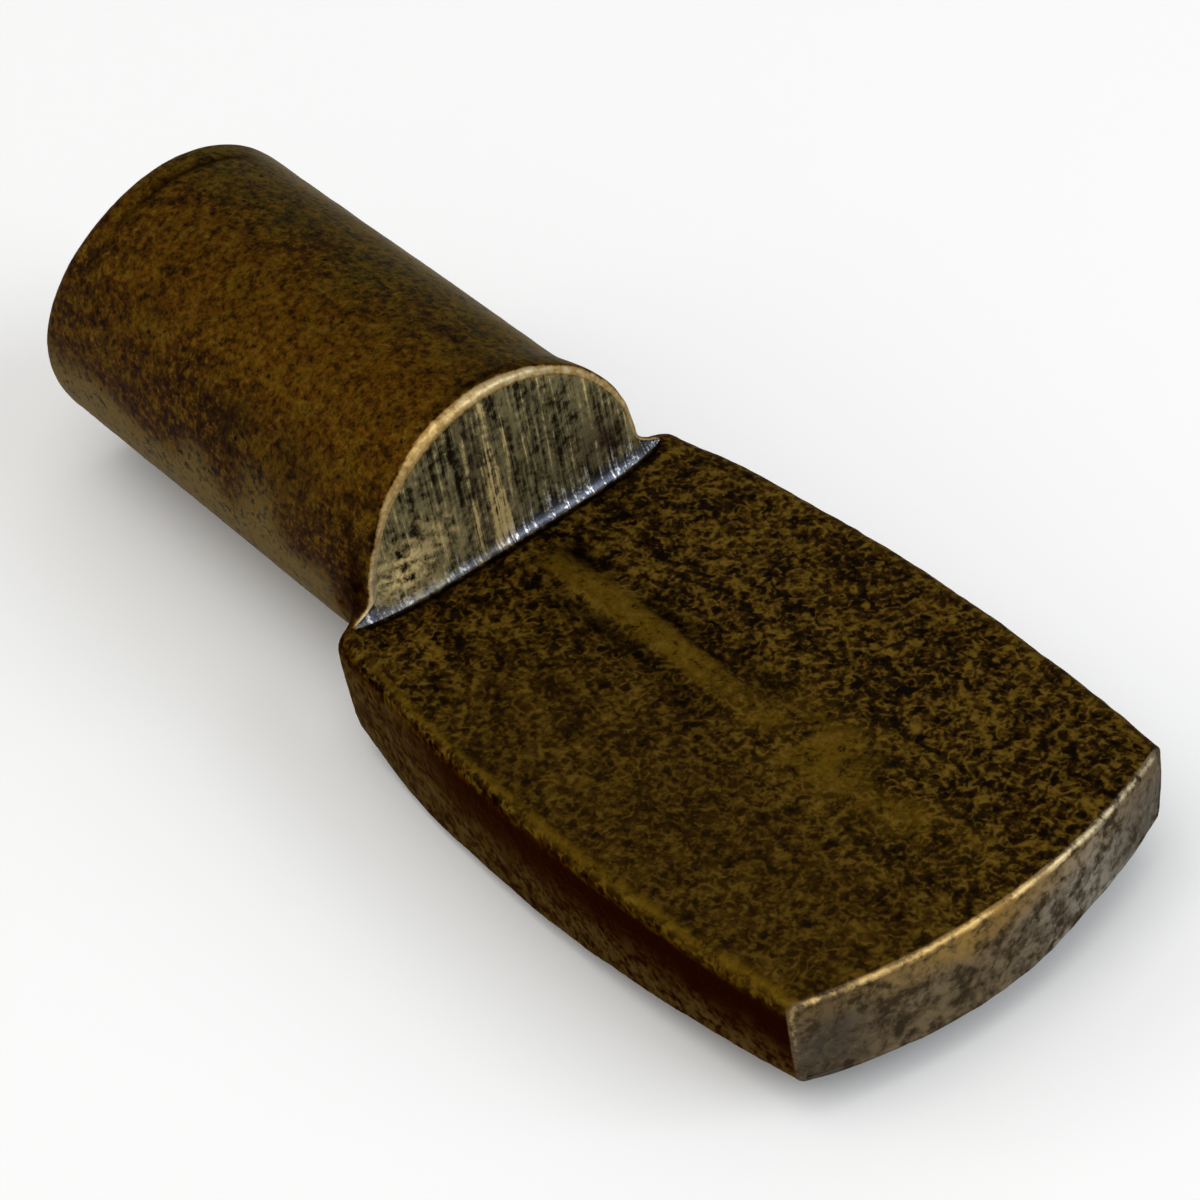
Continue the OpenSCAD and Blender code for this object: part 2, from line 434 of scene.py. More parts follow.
def close_end(skin, top, low, zone, bulge):
    """Fills the inside of a ring with rows that run across it."""
    points = np.array(skin.points)
    left = low[::-1][: SIDE_COUNT + 1]
    right = low[: SIDE_COUNT + 1]
    floor = low[SIDE_COUNT : SIDE_COUNT + BOTTOM_COUNT + 1][::-1]
    u = np.linspace(0, 1, TOP_COUNT + 1)[:, None]
    fine_floor = np.repeat(points[floor], 2, axis=0)[:-1]
    fine_floor[1::2] = (points[floor][:-1] + points[floor][1:]) / 2
    across = points[top]
    row = top
    for k in range(1, SIDE_COUNT):
        v = k / SIDE_COUNT
        sides = (1 - u) * points[left[k]] + u * points[right[k]]
        corners = (1 - v) * ((1 - u) * across[0] + u * across[-1])
        corners = corners + v * ((1 - u) * fine_floor[0] + u * fine_floor[-1])
        inside = (1 - v) * across + v * fine_floor + sides - corners
        inside[:, 0] += bulge * 4 * v * (1 - v) * np.sin(pi * u[:, 0]) ** 0.25
        following = [left[k], *skin.row(inside[1:-1], zone), right[k]]
        skin.strip(row, following)
        row = following
    skin.halving_strip(row, floor)


class SkinBuilder:
    """Lays the rows of the skin, from the pin's free end to the paddle's tip."""

    def __init__(self, shape):
        self.shape = shape
        self.skin = Skin()
        self.top = self.low = None
        self.top_angles = shape.top_angles()
        self.low_angles = shape.low_angles()
        self.low_edge = side_edge_weights()
        self.share_across = np.linspace(-1, 1, TOP_COUNT + 1)
        self.flank_y = shape.pin_r * cos(shape.foot_angle)

    def ring(self, top_points, low_points, top_zone, low_zone, top_edge=0.0, low_edge=0.0):
        """A row over the top and a row round below it, which share the two rail points."""
        before = self.top, self.low
        low_edge = np.broadcast_to(low_edge, len(low_points))
        self.top = self.skin.row(top_points, top_zone, top_edge)
        inner = self.skin.row(low_points[1:-1], low_zone, low_edge[1:-1])
        self.low = [self.top[-1], *inner, self.top[0]]
        if before[0] is not None:
            self.skin.strip(before[0], self.top)
            self.skin.strip(before[1], self.low)

    def pin_wall(self):
        """The free end and the pin's plain wall."""
        shape = self.shape
        rings = []
        for turn in np.linspace(0, pi / 2, END_ROWS + 1):
            r = shape.pin_r - shape.end_round * (1 - sin(turn))
            x = -shape.pin_length + shape.end_round * (1 - cos(turn))
            rings.append((x, r, END))
        wall_start = -shape.pin_length + shape.end_round
        for x in np.linspace(wall_start, -shape.shoulder_start, PIN_ROWS + 1)[1:]:
            rings.append((x, shape.pin_r, PIN))
        for k, (x, r, zone) in enumerate(rings):
            self.ring(at_x(x, polar(r, self.top_angles)), at_x(x, polar(r, self.low_angles)), zone, zone)
            if k == 0:
                close_end(self.skin, self.top, self.low, END, 0.0)

    def spread_top(self, x, growth, inset):
        """The pin's upper half, its flanks spread on to the shoulders and its rim drawn in."""
        shape = self.shape
        lip = shape.rim_lip * (x + shape.shoulder_start) / shape.shoulder_start
        section = polar(shape.pin_r + lip, self.top_angles)
        height = section[:, 1] - shape.seat_z
        drop = np.clip(1 - height / shape.flank_height, 0, 1)
        section[:, 0] += np.sign(section[:, 0]) * growth * drop**FLANK_BEND
        room = np.clip(height / (4 * shape.rim_round), 0, 1)
        return section - polar(1.0, self.top_angles) * (inset * room)[:, None]

    def shoulder_ring(self, x, section, growth, inset, zone, edge, low_edge):
        """A ring with the pin's upper half above and a section of the paddle below."""
        top_points = at_x(x, self.spread_top(x, growth, inset))
        top_points[[0, -1]] = at_x(x, section[[-1, 0]])
        self.ring(top_points, at_x(x, section), zone, SIDE, edge, low_edge)

    def shoulders(self):
        """The lower half swells into the paddle while the flanks spread on to it."""
        shape = self.shape
        rim_x = -shape.rim_round
        pin_low = polar(shape.pin_r, self.low_angles)
        target = shape.low_section(rim_x)
        reach = shape.rail_y(rim_x) - self.flank_y
        path = (-shape.shoulder_start, *SHOULDER_PULL, rim_x)
        for t in np.linspace(0, 1, SHOULDER_ROWS + 1)[1:]:
            x = sum(k * p * (1 - t) ** (3 - i) * t**i for i, (k, p) in enumerate(zip((1, 3, 3, 1), path)))
            share = t * t
            section = pin_low + share * (target - pin_low)
            self.shoulder_ring(x, section, share * reach, 0.0, PIN, 0.0, self.low_edge * share)

    def rim(self):
        """The rounded rim above the step."""
        shape = self.shape
        for turn in np.linspace(0, pi / 2, RIM_ROWS + 1)[1:]:
            x = -shape.rim_round * (1 - sin(turn))
            growth = shape.rail_y(x) - self.flank_y
            inset = shape.rim_round * (1 - cos(turn))
            weight = 0.35 + 0.65 * sin(2 * min(turn, pi / 4))
            self.shoulder_ring(x, shape.low_section(x), growth, inset, RIM, weight, self.low_edge)

    def step_face(self):
        """The step's face, which leans and spreads forwards at its foot."""
        shape = self.shape
        rim_points = np.array([self.skin.points[i] for i in self.top])
        seat_y = shape.rail_y(0) * self.share_across
        rise = rim_points[:, 2] - shape.seat_z
        room = np.clip(rise / shape.step_foot_height, 0, 1)
        self.foot_x = shape.step_reach(self.share_across) * room
        flat_part = self.foot_x / (shape.step_lean + shape.step_foot)
        for k in range(1, STEP_ROWS + 1):
            t = 1 - (1 - k / STEP_ROWS) ** STEP_CROWDING
            points = rim_points.copy()
            points[:, 1] += (seat_y - points[:, 1]) * t**2
            points[:, 2] -= rise * t
            height = rise * (1 - t)
            spread = np.clip(1 - height / shape.step_foot_height, 0, 1) ** 2
            points[:, 0] += flat_part * (shape.step_lean * t + shape.step_foot * spread)
            before = self.top
            zone = STEP if k < STEP_ROWS else SEAT
            self.top = [before[0], *self.skin.row(points[1:-1], zone), before[-1]]
            self.skin.strip(before, self.top)

    def paddle(self):
        """The seat above, the walls and the underside below."""
        shape = self.shape
        near = np.linspace(0, NEAR_SHARE, NEAR_ROWS + 1)[1:-1]
        for s in np.concatenate([near, np.linspace(NEAR_SHARE, 1, SEAT_ROWS)]):
            x = s * shape.tip_x(shape.rail_y(shape.end_x))
            across = shape.rail_y(x) * self.share_across
            top_points = np.stack([
                self.foot_x + s * (shape.tip_x(across) - self.foot_x),
                across,
                np.full(len(across), shape.seat_z),
            ], 1)
            section = shape.low_section(x)
            tip = shape.tip_x(section[:, 0]) - shape.draft(section[:, 1]) * smooth(*TIP_DRAFT_RUN, s)
            self.ring(top_points, np.column_stack([s * tip, section]), SEAT, SIDE, 0.0, self.low_edge)

    def tip(self):
        """The tip's rounded edges and its end face."""
        shape = self.shape
        loop = np.array([self.skin.points[i] for i in self.top + self.low[1:-1]])
        along = np.roll(loop, -1, 0) - np.roll(loop, 1, 0)
        inward = np.stack([along[:, 2], -along[:, 1]], 1)
        inward /= np.linalg.norm(inward, axis=1, keepdims=True)
        inward *= -np.sign(np.sum(inward * (loop[:, 1:] - loop[:, 1:].mean(0))))
        for turn in np.linspace(0, pi / 2, TIP_ROWS + 1)[1:]:
            rounded = loop.copy()
            rounded[:, 0] += shape.tip_round * sin(turn)
            rounded[:, 1:] += inward * shape.tip_round * (1 - cos(turn))
            weight = 0.3 + 0.7 * sin(2 * turn)
            low_points = np.concatenate([rounded[TOP_COUNT:], rounded[:1]])
            self.ring(rounded[: TOP_COUNT + 1], low_points, TIP, TIP, weight, 0.8 * weight)
        close_end(self.skin, self.top, self.low, TIP, shape.tip_bulge)

    def crop_and_lean(self):
        """Crops the free end from two sides, and sets the pin's root to one side, so that it leans."""
        shape = self.shape
        x, y, z = np.array(self.skin.points).T
        share = smooth(0.0, -LEAN_RUN, x)
        lean = shape.pin_shift / shape.pin_length
        aside = (z * cos(CROP_SIDE) - y * sin(CROP_SIDE)) / shape.pin_r
        along_ridge = (z * sin(CROP_SIDE) + y * cos(CROP_SIDE)) / shape.pin_r
        end_share = smooth(CROP_RUN - shape.pin_length, -shape.pin_length, x)
        x = x + shape.end_crop * end_share * (aside**2 - CROP_DEPTH + CROP_SLOPE * along_ridge)
        self.skin.points = np.stack([x + share * lean * y, y - share * (shape.pin_shift + lean * x), z], 1)


def build_skin(shape):
    builder = SkinBuilder(shape)
    builder.pin_wall()
    builder.shoulders()
    builder.rim()
    builder.step_face()
    builder.paddle()
    builder.tip()
    builder.crop_and_lean()
    return builder.skin


# Depths of the wear, in millimetres
BROAD_DENT = 0.012
MEDIUM_DENT = 0.008
FINE_DENT = 0.004
PIT_DEPTH = 0.010
HOLLOW_DEPTH = 0.02
CREVICE_DEPTH = 0.04
BROAD_SCORE = 0.008
FINE_SCORE = 0.006
GROOVE_DEPTH = 0.03
EDGE_WAVER = 0.02
EDGE_NICK = 0.012

# Distance of the groove from the pin's free end
GROOVE_PLACE = 0.75

# Marks on the seat: strength, then place and reach along the paddle, then across it
RUBBED_PATCHES = (
    (0.95, (8.3, 1.5), (0.15, 0.75)),
    (0.5225, (10.6, 1.6), (0.1, 0.5)),
)
HOLLOWS = (
    (1.0, (1.5, 0.65), (0.48, 0.22)),
    (0.5, (2.2, 0.9), (-0.50, 0.22)),
    (0.8, (3.6, 1.0), (-0.48, 0.20)),
    (0.95, (4.0, 0.9), (0.53, 0.22)),
    (0.4, (5.6, 1.0), (-0.7, 0.35)),
    (0.5, (6.2, 1.0), (0.62, 0.3)),
)
# Marks on the step: strength, then place and reach across it, then above the seat
GILDED_SPOTS = (
    (1.0, (-2.45, 0.45), (0.6, 0.45)),
    (0.35, (-1.8, 0.7), (0.9, 0.6)),
)
# Dark marks on the pin: strength, then place and reach along it, then round it in radians
BLOTCHES = (
    (1.0, (-4.3, 0.55), (1.02, 0.13)),
    (0.8, (-7.4, 0.3), (0.78, 0.05)),
    (0.6, (-7.9, 0.2), (0.7, 0.06)),
    (0.5, (-2.6, 0.6), (1.0, 0.2)),
)


class Wear:
    """Dents, pits and scores that move the skin's points, and the masks that colour them, some of which paint
    shade and reflections.
    """

    def __init__(self, shape, points, zones, edges):
        self.shape = shape
        self.points = points
        self.zones = zones
        self.edges = edges
        self.x, self.y, self.z = points.T
        self.on_pin = (zones == PIN) | (zones == END)
        self.on_step = zones == STEP
        self.on_seat = zones == SEAT
        self.on_side = zones == SIDE
        self.on_tip = zones == TIP
        self.above = self.z - shape.seat_z
        self.depth = np.maximum(-self.above, 0.0)
        self.dents, self.clouds, self.grit, self.scores = (GrainNoise(seed) for seed in (11, 23, 37, 53))
        self.medium = self.dents(points + 9.0, 1.4)
        self.fine = self.grit(points, 4.6)
        self.move = BROAD_DENT * self.dents(points, 0.42) + MEDIUM_DENT * self.medium + FINE_DENT * self.fine
        # Darkening from oxide in dents and grooves, and painted shade in corners and under the rim
        self.dark = np.zeros(len(points))
        self.masks = {}

    def seat(self):
        """Pitted hide, with a rubbed ridge that starts near the step and dark hollows beside it."""
        shape, x, y = self.shape, self.x, self.y
        ridge_line = y - 0.1 * np.sin(0.55 * x) + 0.05 * self.medium
        ridge = np.exp(-((np.abs(ridge_line) / (shape.ridge_width / 2)) ** 8.0)) * smooth(0.7, 1.3, x)
        shine = 0.35 * smooth(9.0, 6.0, x) + 0.65 * smooth(6.6, 5.0, x)
        patch = spots(RUBBED_PATCHES, x, y) * smooth(-0.35, 0.5, self.clouds(self.points, 1.1) + 0.35)
        rubbed = np.clip(ridge * shine + patch, 0, 1) * self.on_seat
        edge_room = smooth(-0.05, 0.25, shape.rail_y(x) - np.abs(y) + 0.04 * self.medium)
        rough_part = 0.6 + 0.4 * smooth(9.0, 2.0, x - 0.7 * y)
        pits = smooth(0.0, 0.55, -self.grit(self.points * (1, 1, 0) + 3.0, (5.2, 6.0, 1.0)))
        pits = pits * self.on_seat * edge_room * (1 - 0.8 * rubbed) * rough_part
        oxide_and_shade = np.clip(spots(HOLLOWS, x, y) * (1 + 0.5 * self.fine), 0, 1) * self.on_seat
        self.move += self.on_seat * shape.ridge_height * ridge * smooth(11.0, 2.0, x)
        self.move -= PIT_DEPTH * pits + HOLLOW_DEPTH * oxide_and_shade
        self.dark += oxide_and_shade
        self.masks["rubbed"] = rubbed
        self.masks["pits"] = pits
        self.masks["calm"] = self.on_seat * smooth(0.6, -2.2, y) * smooth(1.0, 4.0, x)
        self.masks["seat"] = np.clip(self.on_seat + self.on_side * smooth(-0.1, 0.5, x), 0, 1)

    def crevice(self):
        """Painted shade where the step's foot meets the seat: a dark line along a shallow groove, and a
        fainter dark band on the seat just in front of the step.
        """
        beside = np.abs(self.y)
        ahead = self.x - self.shape.step_reach(self.y / self.shape.rail_y(0.0))
        line = self.on_seat * bell(ahead, 0.03, 0.075) * smooth(3.7, 3.3, beside)
        self.move -= CREVICE_DEPTH * line
        # Dark line in the groove and painted shade on the seat in front of the step
        self.dark += line + 0.5 * self.on_seat * smooth(0.32, 0.0, ahead) * smooth(3.7, 3.2, beside)

    def step(self):
        """Scores left by the shearing, near upright, over a burnished foot with a painted bluish reflection
        and silver glints, stronger towards +Y.
        """
        y, above, on_step = self.y, self.above, self.on_step
        place = np.stack([np.zeros_like(y), y + 0.12 * self.z, self.z], 1)
        broad = self.scores(place, (1.0, 3.2, 0.25))
        fine = self.scores(place + 5.0, (1.0, 9.0, 0.5))
        scored = (BROAD_SCORE * broad + FINE_SCORE * fine) * smooth(0.0, 0.4, above)
        self.move = np.where(on_step, scored, self.move)
        foot_height = 0.14 + 0.07 * self.scores(place + 2.0, (1.0, 2.0, 0.0)) + 0.09 * fine
        foot_height += 0.14 * bell(y, 2.5, 0.8) + 0.09 * bell(y, 0.9, 1.0) + 0.05 * bell(y, -2.9, 0.5)
        foot_height = np.maximum(foot_height, 0.03)
        # Painted reflection of the cool window light on the foot, stronger towards +Y and at the -Y end
        foot_reflection = 0.30 + 0.7 * smooth(-0.7, 0.5, y) + 0.5 * bell(y, -3.0, 0.4)
        foot_reflection = np.clip(foot_reflection + 0.5 * self.scores(place + 8.0, (1.0, 1.3, 0.0)), 0, 1)
        gilt = bell(y, -0.2, 0.22) * (0.45 + 0.55 * smooth(2.4, 0.4, above))
        gilt += 0.5 * bell(y, -0.75, 0.12) * smooth(2.2, 1.0, above)
        ruddy = 0.8 * bell(y, 2.1, 0.5) * bell(above, 0.95, 0.5) + 0.5 * bell(y, -0.55, 0.2)
        foot = smooth(foot_height * 1.3, foot_height * 0.5, above)
        streaks = smooth(2.6 * foot_height, 0.4 * foot_height, above)
        self.masks["step"] = on_step * 1.0
        self.masks["scores"] = np.where(on_step, np.clip(0.5 + 0.45 * broad, 0, 1), 0.5)
        # The foot's bluish tone and its silver streaks are painted reflections of the window light
        self.masks["foot"] = on_step * foot * (0.45 + 0.55 * foot_reflection)
        self.masks["streaks"] = on_step * streaks * foot_reflection
        self.masks["gilt"] = on_step * np.clip(gilt, 0, 1)
        self.masks["gilded"] = on_step * np.clip(spots(GILDED_SPOTS, y, above), 0, 1)
        self.masks["ruddy"] = on_step * np.clip(ruddy, 0, 1)

    def pin(self):
        """A groove near the free end, blotches, and bands round the pin that paint a highlight, pale
        reflections and a darker reflection.
        """
        shape, x, on_pin = self.shape, self.x, self.on_pin
        facing = np.arctan2(-self.y, self.z)
        drift = facing + 0.25 * self.clouds(self.points + 5.0, 0.75)
        on_wall = on_pin * smooth(0.78, 0.97, np.hypot(self.y, self.z) / shape.pin_r)
        groove_x = -shape.pin_length + GROOVE_PLACE + 0.1 * self.medium
        groove = on_pin * bell(x, groove_x, 0.1) * smooth(-0.75, -0.3, facing) * smooth(0.75, 0.35, facing)
        self.move -= GROOVE_DEPTH * groove
        self.dark += 0.9 * groove
        # Painted reflection of the pale floor low on the pin's -Y side
        khaki_reflection = smooth(1.30, 1.66, drift) * smooth(2.9, 2.1, drift) * smooth(-0.8, -1.6, x)
        # Painted pale grazing reflection high on the pin's +Y side
        tan = bell(facing + 0.05 * self.medium, -0.92, 0.21) * (0.85 + 0.25 * self.fine)
        # Painted highlight: a band facing up towards -Y, where the light falls, pushed towards amber
        amber_and_highlight = bell(facing, 0.45, 0.55) * (0.6 + 0.4 * smooth(-9.6, -8.0, x))
        # Painted darker reflection of the dark surroundings on the pin's upper +Y side
        self.masks["painted_dark_reflection_side"] = on_wall * smooth(0.15, -0.45, drift) * smooth(-2.6, -1.6, drift)
        self.masks["painted_floor_reflection_side"] = on_wall * khaki_reflection
        self.masks["painted_sheen_side"] = on_wall * tan
        self.masks["painted_highlight_side"] = on_wall * amber_and_highlight
        self.masks["blotch"] = on_pin * np.clip(spots(BLOTCHES, x, facing), 0, 1)

    def edge_waver(self):
        """The worn waviness of all rounded edges."""
        waver = EDGE_WAVER * self.dents(self.points + 31.0, 0.9)
        self.move += self.edges * (waver + EDGE_NICK * self.dents(self.points + 7.0, 3.6))

    def rim(self):
        """The bared rim: widest and brightest above the middle, thin down both flanks; a painted shadow on
        the step just under it, a darker band on the pin just behind it, and painted shade in the -Y corner
        where the pin meets the shoulder.
        """
        shape, x, y, z = self.shape, self.x, self.y, self.z
        arc = np.arctan2(z, y)
        arc = np.where(arc < -pi / 2, arc + 2 * pi, arc)
        start = -0.06 - 0.12 * bell(arc, 1.75, 0.5) - 0.035 * self.dents(self.points + 17.0, 1.3)
        bare_part = (self.above > 0.02) & ((self.zones == PIN) | (self.zones == RIM))
        shine = 0.82 + 0.22 * bell(arc, 1.45, 0.5)
        shine += 0.12 * smooth(1.8, 2.1, arc) + 0.20 * smooth(2.6, 3.1, arc)
        rim = bare_part * smooth(start - 0.04, start + 0.04, x) * shine * smooth(-0.25, 0.15, arc + 0.3)
        # Painted shadow on the step just under the rim
        under = self.on_step * smooth(0.16, 0.03, shape.pin_r - np.hypot(y, z)) * smooth(2.3, 1.9, arc)
        # A darker band on the pin just behind the rim
        behind = 0.75 * self.on_pin * bell(x, start - 0.15, 0.11) * bell(arc, 1.5, 0.38)
        # Painted shade in the concave -Y corner where the pin meets the shoulder
        flank = (self.on_pin | self.on_side) * smooth(-2.3, -2.8, y)
        flank = flank * bell(x, -0.34, 0.34) * bell(z, 0.2, 0.75)
        # The painted shade, the painted shadow and the darker band all go into the dark mask
        self.dark += (flank + behind) * (1 - rim) + 0.6 * under
        self.masks["rim"] = rim
        self.masks["rim_gold"] = rim * bell(arc, 2.15, 0.45)

    def tip(self):
        """The tip: its upper edge and left corner are worn, its lower edge is not."""
        y, depth, on_tip = self.y, self.depth, self.on_tip
        corner = smooth(3.75, 4.05, -y + 0.08 * self.medium)
        upper = smooth(0.34, 0.12, depth + 0.10 * self.medium)
        edge = on_tip * self.edges * np.clip(upper + corner, 0, 1)
        edge = np.clip(edge * (0.72 + 0.5 * self.dents(self.points + 43.0, 1.6)), 0, 1)
        glow = smooth(0.95, 0.15, depth + 0.2 * self.medium) * (0.25 + 0.75 * bell(y, -0.7, 1.8))
        self.masks["tip"] = on_tip * 1.0
        self.masks["tip_edge"] = edge * (1 - 0.35 * smooth(0.5, 1.8, depth))
        self.masks["tip_glow"] = on_tip * glow
        self.masks["tip_lead"] = on_tip * np.clip(bell(y, -3.6, 0.7) + 0.8 * smooth(1.8, 3.6, y), 0, 1)
        # Painted pale reflection of the floor, growing towards +Y on the tip's end face
        self.masks["painted_end_reflection"] = on_tip * smooth(-0.8, 2.2, y)

    def sides(self):
        """The walls, painted in shade below the seat's edge, lighter lower down as a painted floor reflection
        and near the shoulders as painted light, and a rubbed line along the seat's edges that is strongest on
        the left.
        """
        x, depth = self.x, self.depth
        left = smooth(0.5, -0.5, self.y)
        place = self.shape.rail_y(x) + 0.06 - np.abs(self.y) + 0.03 * self.medium
        line = bell(place, 0.0, 0.05 + 0.05 * smooth(3.0, 8.0, x)) * smooth(0.45, 0.12, depth)
        # The walls below the seat's edge, which take the painted shade
        wall = self.on_side * smooth(0.16, 0.34, depth)
        # Painted floor reflection lower down the walls, and painted light near the shoulders
        light = smooth(0.75, 2.0, depth + 0.25 * self.medium) + 0.9 * smooth(4.2, 1.0, x)
        line = line * (0.25 + 0.75 * left) * smooth(0.2, 1.6, x)
        self.masks["side_line"] = (self.on_seat | self.on_side) * line
        self.masks["wall"] = wall
        self.masks["wall_floor_reflection"] = wall * np.clip(light, 0, 1)
        self.masks["flank"] = self.on_side * smooth(0.02, 0.14, depth)


def wear_the_skin(shape, points, normals, zones, edges):
    """Moves the points by their wear, and returns them with the masks that colour them."""
    wear = Wear(shape, points, zones, edges)
    wear.seat()
    wear.crevice()
    wear.step()
    wear.pin()
    wear.edge_waver()
    wear.rim()
    wear.tip()
    wear.sides()
    # Oxide in dents and grooves, and painted shade
    wear.masks["oxide_and_shade"] = np.clip(wear.dark, 0, 1)
    return points + normals * wear.move[:, None], wear.masks


class Value:
    """A number in a node tree. Sums on it add Math nodes."""

    def __init__(self, tree, socket):
        self.tree = tree
        self.socket = socket

    def _sum(self, operation, left, right):
        node = self.tree.nodes.new("ShaderNodeMath")
        node.operation = operation
        for socket, term in zip(node.inputs, (left, right)):
            if isinstance(term, Value):
                self.tree.links.new(term.socket, socket)
            else:
                socket.default_value = term
        return Value(self.tree, node.outputs[0])

    def __add__(self, other):
        return self._sum("ADD", self, other)

    def __radd__(self, other):
        return self._sum("ADD", other, self)

    def __sub__(self, other):
        return self._sum("SUBTRACT", self, other)

    def __rsub__(self, other):
        return self._sum("SUBTRACT", other, self)

    def __mul__(self, other):
        return self._sum("MULTIPLY", self, other)

    def __rmul__(self, other):
        return self._sum("MULTIPLY", other, self)

    def __abs__(self):
        return self._sum("ABSOLUTE", self, 0.0)


class FinishNodes:
    """Adds nodes to one material."""

    def __init__(self, name):
        self.material = bpy.data.materials.new(name)
        self.material.use_nodes = True
        self.tree = self.material.node_tree
        self.tree.nodes.clear()

    def node(self, kind, settings=None, sockets=None, output=0):
        """A node of a kind, its settings made first, then its sockets given values or links."""
        made = self.tree.nodes.new(kind)
        for name, setting in (settings or {}).items():
            setattr(made, name, setting)
        for key, term in (sockets or {}).items():
            if isinstance(term, Value):
                self.tree.links.new(term.socket, made.inputs[key])
            else:
                made.inputs[key].default_value = term
        return Value(self.tree, made.outputs[output]) if made.outputs else None

    def mask(self, name):
        return self.node("ShaderNodeAttribute", {"attribute_name": name}, output="Fac")

    def noise(self, place, scale, detail, roughness, distortion=0.0):
        return self.node("ShaderNodeTexNoise", None, {
            "Vector": place, "Scale": scale, "Detail": detail,
            "Roughness": roughness, "Distortion": distortion,
        }, output="Fac")

    def climb(self, value, low, high):
        """0 below low, 1 above high, eased between."""
        return self.node("ShaderNodeMapRange", {"interpolation_type": "SMOOTHSTEP"}, {
            "Value": value, "From Min": low, "From Max": high,
        })

    def blend(self, share, colour_a, colour_b):
        """Colour a where the share is 0, colour b where it is 1."""
        sockets = {0: share, 6: colour_a, 7: colour_b}
        return self.node("ShaderNodeMix", {"data_type": "RGBA"}, sockets, output=2)


# Height of the finest grain, in millimetres
GRAIN_HEIGHT = 0.02


class DarkenedBrass(FinishNodes):
    """Patina, pits, rubbed edges and scores of the pin's finish, with painted shade, reflections and
    highlights.
    """

    def __init__(self, finish):
        super().__init__("darkened_brass")
        self.finish = finish
        own = self.node("ShaderNodeTexCoord", output="Object")
        place = self.node("ShaderNodeVectorMath", {"operation": "SCALE"}, {0: own, "Scale": 1 / MM})
        along_scores = self.node("ShaderNodeMapping", {"vector_type": "POINT"}, {
            "Vector": place, "Rotation": (radians(-5), 0, 0), "Scale": (0.5, 9.0, 0.5),
        })
        self.cloud = self.noise(place, scale=0.55, detail=3.0, roughness=0.55)
        self.mottle = self.noise(place, scale=2.3, detail=4.0, roughness=0.62)
        self.soft = self.noise(place, scale=2.3, detail=1.6, roughness=0.62)
        self.grain = self.noise(place, scale=6.5, detail=3.0, roughness=0.65, distortion=0.3)
        self.coarse = self.noise(place, scale=6.2, detail=1.4, roughness=0.6, distortion=0.35)
        self.worms = self.noise(place, scale=4.6, detail=0.9, roughness=0.5, distortion=0.35)
        self.dust = self.noise(place, scale=15.0, detail=2.0, roughness=0.6)
        self.threads = self.noise(along_scores, scale=1.0, detail=3.0, roughness=0.7)
        self.specks = self.node(
            "ShaderNodeTexVoronoi", None, {"Vector": place, "Scale": 2.7}, output="Distance")
        self.peppered = self.grain * 0.62 + self.dust * 0.18 + self.mottle * 0.20
        self.rubbed = self.mask("rubbed")
        self.foot = self.mask("foot")
        self.step = self.mask("step")

    def pin_patina(self):
        """Amber clouds with a painted highlight band on the upper -Y side, mossy clouds with a painted darker
        reflection on the upper +Y side, painted pale reflections along both flanks, dark grain and specks, a
        few pale grains.
        """
        finish, mottle, peppered = self.finish, self.mottle, self.peppered
        # The painted highlight band pushes the pin towards amber
        glow = self.cloud * 0.55 + mottle * 0.45 + self.mask("painted_highlight_side") * 0.24
        pin = self.blend(self.climb(glow, 0.41, 0.74), finish.umber, finish.amber_and_highlight)
        mossy = self.climb(self.cloud * 0.4 + mottle * 0.6, 0.48, 0.62)
        # Moss follows random clouds and a painted darker reflection on the upper +Y side
        pin = self.blend(self.mask("painted_dark_reflection_side") * 0.55 + mossy * 0.28, pin, finish.moss)
        # Painted reflection of the pale floor low on the -Y side
        pin = self.blend(self.mask("painted_floor_reflection_side") * 0.9, pin, finish.khaki_reflection)
        # Painted pale grazing reflection high on the +Y side
        pin = self.blend(self.mask("painted_sheen_side") * 0.85, pin, finish.tan)
        pin = self.blend(self.climb(peppered, 0.53, 0.37) * 0.86, pin, finish.pit)
        pin = self.blend(self.climb(peppered, 0.49, 0.63) * 0.9, pin, finish.fleck)
        dot = self.climb(self.specks, 0.20, 0.10) * self.climb(mottle, 0.50, 0.56) + self.mask("blotch") * 0.8
        pin = self.blend(dot * 0.85, pin, finish.pit)
        curls = self.climb(abs(self.worms - 0.5), 0.035, 0.0) * self.climb(mottle, 0.52, 0.62)
        pin = self.blend(curls * 0.6, pin, finish.strand)
        return self.blend(self.climb(self.grain, 0.70, 0.78) * 0.5, pin, finish.worn_gold)

    def seat_hide(self):
        """Brown hide with near-black pits between raised, squiggly strands, rubbed golden on the ridge."""
        finish, peppered = self.finish, self.peppered
        strands = self.climb(abs(self.worms - 0.5), 0.15, 0.03) * self.climb(self.grain, 0.36, 0.58)
        level = strands * 0.16 + self.coarse * 0.42 + self.grain * 0.12 + self.soft * 0.34
        level = (level - self.mask("pits") * 0.05 - 0.505) * (0.88 - self.mask("calm") * 0.40)
        hide = self.blend(self.climb(level, -0.15, 0.06), finish.pit, finish.hide)
        hide = self.blend(self.climb(level, -0.06, 0.20), hide, finish.strand)
        ground = self.blend(self.climb(peppered, 0.34, 0.49), finish.pit, finish.gold)
        ground = self.blend(self.climb(peppered, 0.50, 0.62) * 0.8, ground, finish.strand)
        return self.blend(self.rubbed * 0.95, hide, ground)

    def walls(self, colour):
        """Side walls in painted shade under the seat's edge, lighter and browner with grain lower down and
        near the shoulders as painted reflection and light, and the rubbed line above them.
        """
        finish, grain, mottle = self.finish, self.grain, self.mottle
